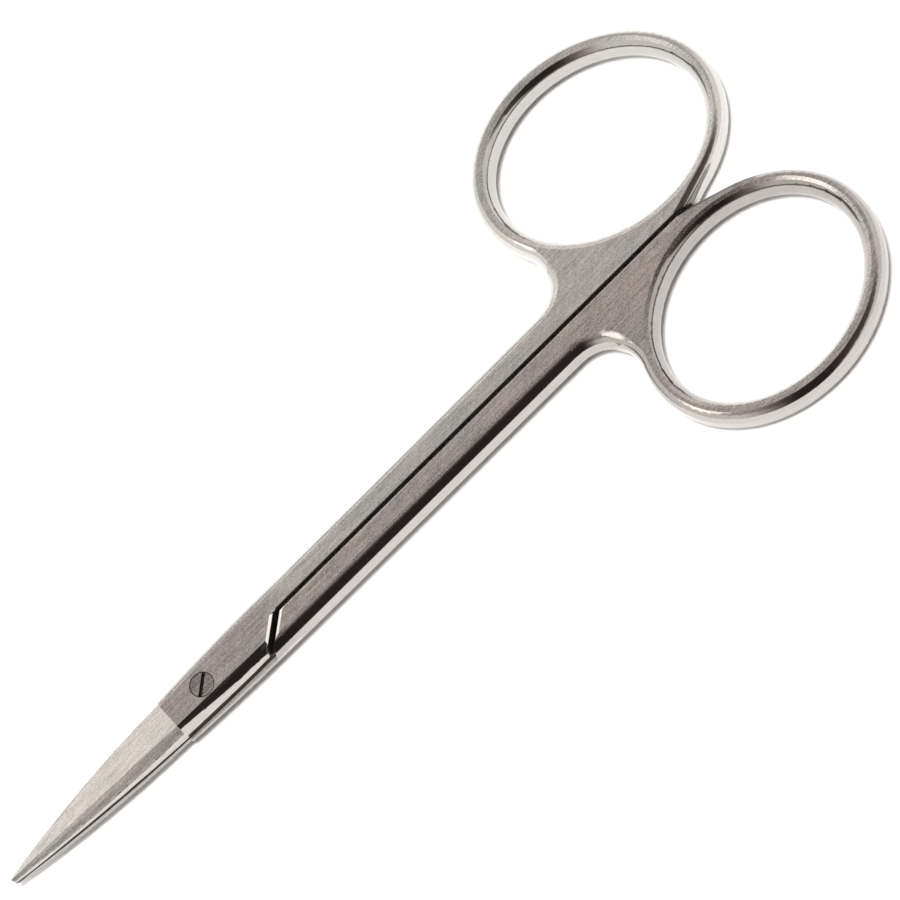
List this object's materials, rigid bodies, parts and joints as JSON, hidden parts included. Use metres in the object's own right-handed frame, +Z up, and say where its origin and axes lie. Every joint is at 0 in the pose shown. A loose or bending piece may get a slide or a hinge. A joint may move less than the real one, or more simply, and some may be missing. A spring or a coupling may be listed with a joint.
{
  "type": "iris scissors",
  "caption": "Straight fine-pointed surgical scissors with two oval finger rings and slim blades that turn on a flush slotted pivot screw.",
  "frame": {"origin": "on the pivot axis, in the plane of the ground underside on which the closed scissors lie", "axes": "+X along the centre line from the finger rings to the blade tips, +Z up along the pivot axis towards the screw's slotted head, +Y towards the side where the lower half's finger ring lies"},
  "size_m": [0.1157, 0.0526, 0.0036],
  "materials": {
    "satin_steel": "satin flats with fine lengthwise grain, polished barrel sides and rings",
    "screw_steel": "satin"
  },
  "bodies": {
    "lower": {"lower_half": "satin_steel", "pivot_screw": "screw_steel"},
    "upper": {"upper_half": "satin_steel"}
  },
  "joints": [
    {"name": "pivot", "type": "hinge", "parent": "lower", "child": "upper", "pos_m": [0, 0, 0], "axis": [0, 0, 1], "range_deg": [0, 135]}
  ]
}
